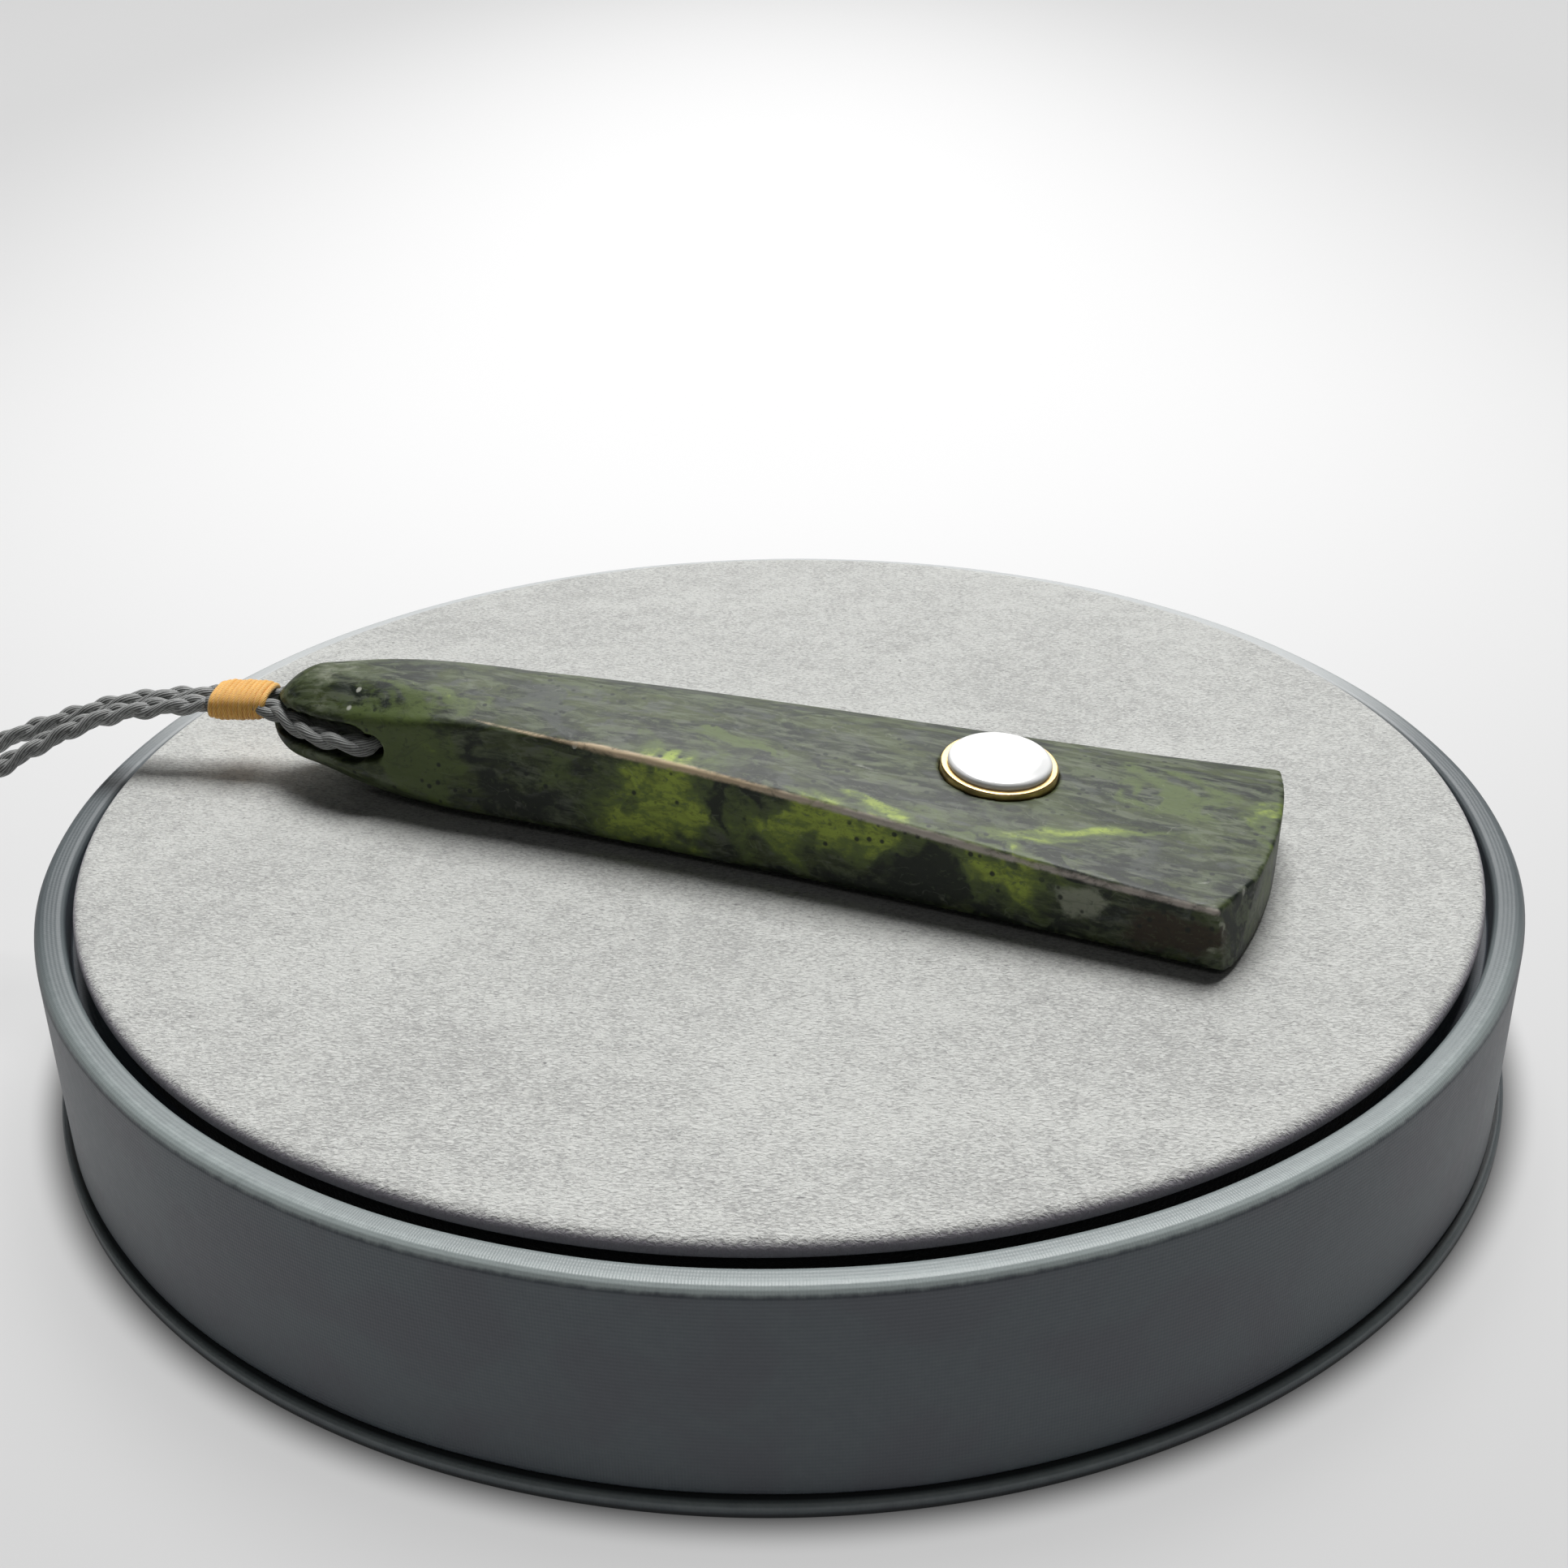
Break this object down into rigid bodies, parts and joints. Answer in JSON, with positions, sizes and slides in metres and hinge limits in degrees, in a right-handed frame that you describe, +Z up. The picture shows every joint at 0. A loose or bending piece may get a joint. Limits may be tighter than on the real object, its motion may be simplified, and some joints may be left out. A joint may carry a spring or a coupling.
{
  "type": "jade drop pendant necklace on a round display stand",
  "caption": "polished dark green stone drop pendant with a gold-rimmed white inlay, orange thread whipping and a plaited grey neck cord, lying on a round suede-topped display stand",
  "frame": {"origin": "centre of the stand's underside, on the floor", "axes": "+Z is up, along the stand's axis; +Y points away from the camera; the pendant's tip points to -X and its blade to +X"},
  "size_m": [0.2515, 0.1287, 0.029],
  "materials": {
    "base_board": "thin board covered in grey leatherette",
    "leatherette": "grey leatherette with a fine woven grain",
    "suede": "light grey microfibre suede",
    "jade": "polished mottled nephrite",
    "gold": "polished gold",
    "white_stone": "glossy white shell or stone",
    "orange_thread": "waxed thread",
    "grey_cord": "plaited waxed cord",
    "grey_thread": "waxed thread"
  },
  "bodies": {
    "root": {"stand_base_plate": "base_board", "stand_drum": "leatherette", "stand_pad": "suede", "drop_stone": "jade", "inlay_bezel": "gold", "inlay_cabochon": "white_stone", "cord_whipping": "orange_thread", "hole_cord": "grey_cord", "neck_cord_front": "grey_cord", "neck_cord_back": "grey_cord", "neck_join": "grey_thread"}
  },
  "joints": []
}
